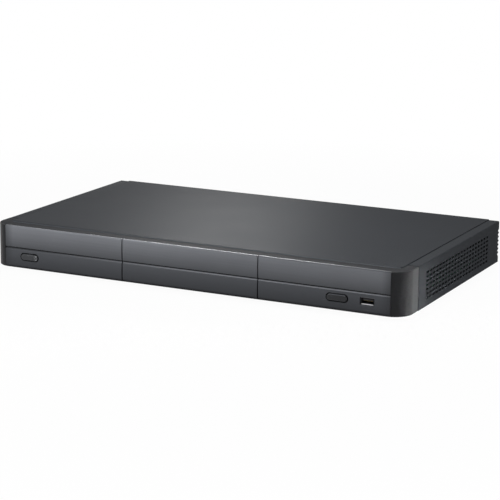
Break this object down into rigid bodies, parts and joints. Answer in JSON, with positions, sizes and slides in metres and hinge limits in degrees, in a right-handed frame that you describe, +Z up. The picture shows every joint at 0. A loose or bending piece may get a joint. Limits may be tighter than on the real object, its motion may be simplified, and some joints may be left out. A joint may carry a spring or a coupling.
{
  "type": "network media player",
  "caption": "Slim full-width media player: folded vented cover, curved front with seamed plates and a level groove, push buttons, front USB socket, rear sockets and fan.",
  "frame": {"origin": "on the floor under the middle of the player's outline", "axes": "+X to the right seen from the front, +Y to the back with the rear sockets, +Z up from the feet"},
  "size_m": [0.43, 0.2558, 0.0457],
  "materials": {
    "graphite_paint": "fine textured charcoal paint",
    "graphite_plastic": "satin charcoal moulding",
    "brushed_plate": "charcoal, brushed across",
    "button_plastic": "satin charcoal",
    "bare_steel": "zinc plated",
    "bright_steel": "bright plated",
    "black_plastic": "moulded black",
    "black_rubber": "matt",
    "green_board": "lacquered circuit board",
    "black_aluminium": "black anodised",
    "clear_plastic": "clear moulding",
    "dark_ferrite": "sintered ferrite",
    "yellow_tape": "polyester tape",
    "can_sleeve": "shrunk sleeve",
    "gold_contact": "gilt contacts",
    "grey_cable": "insulated leads",
    "fuse_glass": "clear glass tube with metal caps"
  },
  "bodies": {
    "case": {"chassis_tray": "bare_steel", "rear_panel": "graphite_paint", "top_cover": "graphite_paint", "foot_front_left": "black_rubber", "foot_front_right": "black_rubber", "foot_back_left": "black_rubber", "foot_back_right": "black_rubber", "cover_screw_left": "bare_steel", "cover_screw_centre": "bare_steel", "cover_screw_right": "bare_steel", "front_bezel": "graphite_plastic", "face_plate_left": "brushed_plate", "face_plate_centre": "brushed_plate", "face_plate_right": "brushed_plate", "power_switch": "bare_steel", "setup_switch": "bare_steel", "light_guide": "clear_plastic", "power_lamp": "clear_plastic", "remote_receiver": "black_plastic", "front_board": "green_board", "front_usb_shell": "bright_steel", "front_usb_tongue": "black_plastic", "main_board": "green_board", "processor": "black_plastic", "processor_heat_sink": "black_aluminium", "memory_chip_left": "black_plastic", "memory_chip_right": "black_plastic", "supply_board": "green_board", "transformer_core": "dark_ferrite", "transformer_winding": "yellow_tape", "input_capacitor": "can_sleeve", "output_capacitor_front": "can_sleeve", "output_capacitor_back": "can_sleeve", "line_filter_choke": "dark_ferrite", "supply_heat_sink": "black_aluminium", "fuse": "fuse_glass", "mains_inlet": "black_plastic", "mains_pin_left": "bright_steel", "mains_pin_right": "bright_steel", "fan_frame": "black_plastic", "ribbon_cable": "grey_cable", "supply_cable": "grey_cable", "fan_cable": "grey_cable", "rear_usb_shell": "bright_steel", "rear_usb_tongue": "black_plastic", "hdmi_shell": "bright_steel", "hdmi_tongue": "black_plastic", "network_jack": "black_plastic", "network_contacts": "gold_contact", "digital_audio_socket_housing": "black_plastic", "digital_audio_socket_sleeve": "bright_steel", "component_socket_housing": "black_plastic", "component_socket_sleeves": "bright_steel", "audio_video_socket_housing": "black_plastic", "audio_video_socket_sleeves": "bright_steel"},
    "power_button": {"power_button": "button_plastic", "power_switch_plunger": "black_plastic"},
    "setup_button": {"setup_button": "button_plastic", "setup_switch_plunger": "black_plastic"},
    "fan_rotor": {"fan_rotor": "black_plastic"}
  },
  "joints": [
    {"name": "power_button_press", "type": "slide", "parent": "case", "child": "power_button", "axis": [0, 1, 0], "range_m": [0, 0.0008], "stiffness_N_per_m": 2000, "springref_m": -0.0004},
    {"name": "setup_button_press", "type": "slide", "parent": "case", "child": "setup_button", "axis": [0, 1, 0], "range_m": [0, 0.0008], "stiffness_N_per_m": 2000, "springref_m": -0.0004},
    {"name": "fan_spin", "type": "hinge", "parent": "case", "child": "fan_rotor", "pos_m": [-0.07203, 0.11315, 0.0213], "axis": [0, 1, 0], "continuous": true}
  ]
}
